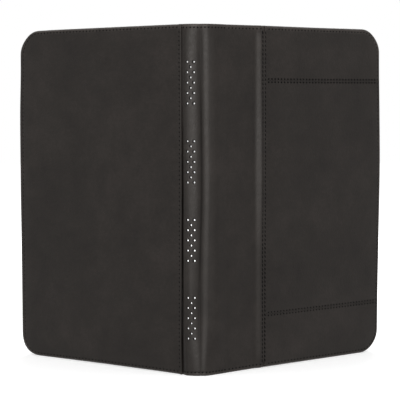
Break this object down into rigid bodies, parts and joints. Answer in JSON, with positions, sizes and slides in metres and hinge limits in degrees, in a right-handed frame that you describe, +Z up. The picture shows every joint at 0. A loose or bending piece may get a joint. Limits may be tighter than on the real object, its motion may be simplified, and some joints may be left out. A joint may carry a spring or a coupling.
{
  "type": "portfolio case",
  "caption": "Book-style leather portfolio case that stands open: two stiff stitched covers, a soft folding spine with punched vent holes, and elastic corner straps inside.",
  "frame": {"origin": "under the middle of the standing case, on the plane it stands on", "axes": "+Z up along the spine, -Y towards the outside of the spine, +X towards the front cover, which is on the right when the spine faces the viewer"},
  "size_m": [0.3502, 0.118, 0.315],
  "materials": {
    "black_leather": "satin",
    "microfibre_lining": "matte",
    "greyboard": "matte",
    "foam_padding": "matte",
    "elastic_webbing": "matte"
  },
  "bodies": {
    "back_cover": {"back_leather": "black_leather", "back_tongue": "black_leather", "back_padding": "foam_padding", "back_board": "greyboard", "back_lining": "microfibre_lining", "back_strap_top": "elastic_webbing", "back_strap_bottom": "elastic_webbing"},
    "spine_back": {"spine_back_leather": "black_leather", "spine_back_lining": "microfibre_lining"},
    "spine_front": {"spine_front_leather": "black_leather", "spine_front_lining": "microfibre_lining"},
    "front_cover": {"front_band": "black_leather", "front_top_panel": "black_leather", "front_centre_panel": "black_leather", "front_bottom_panel": "black_leather", "front_top_padding": "foam_padding", "front_centre_padding": "foam_padding", "front_bottom_padding": "foam_padding", "front_board": "greyboard", "front_lining": "microfibre_lining", "front_strap_top": "elastic_webbing", "front_strap_bottom": "elastic_webbing"}
  },
  "joints": [
    {"name": "back_fold", "type": "hinge", "parent": "back_cover", "child": "spine_back", "pos_m": [-0.0172, -0.05163, 0.1575], "axis": [0, 0, 1], "range_deg": [0, 23.1]},
    {"name": "spine_fold", "type": "hinge", "parent": "spine_back", "child": "spine_front", "pos_m": [-0.00317, -0.05833, 0.1575], "axis": [0, 0, 1], "range_deg": [-67, 40.5]},
    {"name": "front_fold", "type": "hinge", "parent": "spine_front", "child": "front_cover", "pos_m": [0.0172, -0.04744, 0.1575], "axis": [0, 0, 1], "range_deg": [0, 49.4]}
  ]
}
